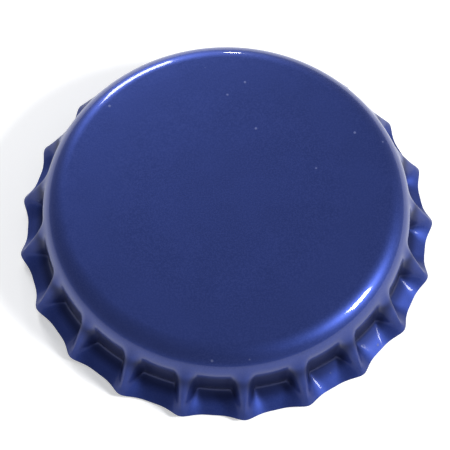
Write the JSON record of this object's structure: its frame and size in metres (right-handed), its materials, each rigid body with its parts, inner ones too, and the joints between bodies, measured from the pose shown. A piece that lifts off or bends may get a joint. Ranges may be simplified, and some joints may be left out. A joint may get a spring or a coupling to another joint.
{
  "type": "crown bottle cap",
  "caption": "Round crown cap for a glass bottle, with a glossy blue lacquered steel shell, a fluted flared skirt and a moulded sealing disc inside.",
  "frame": {"origin": "on the cap's axis, at the level of the skirt's lowest edge, which is where it stands", "axes": "+Z along the cap's axis, up through the top; one ridge of the skirt points along +X"},
  "size_m": [0.0319, 0.032, 0.006],
  "materials": {
    "shell_lacquer": "glossy dark blue lacquer on tin-free steel",
    "liner_plastic": "soft off-white sealing compound, satin"
  },
  "bodies": {
    "root": {"shell": "shell_lacquer", "liner": "liner_plastic"}
  },
  "joints": []
}
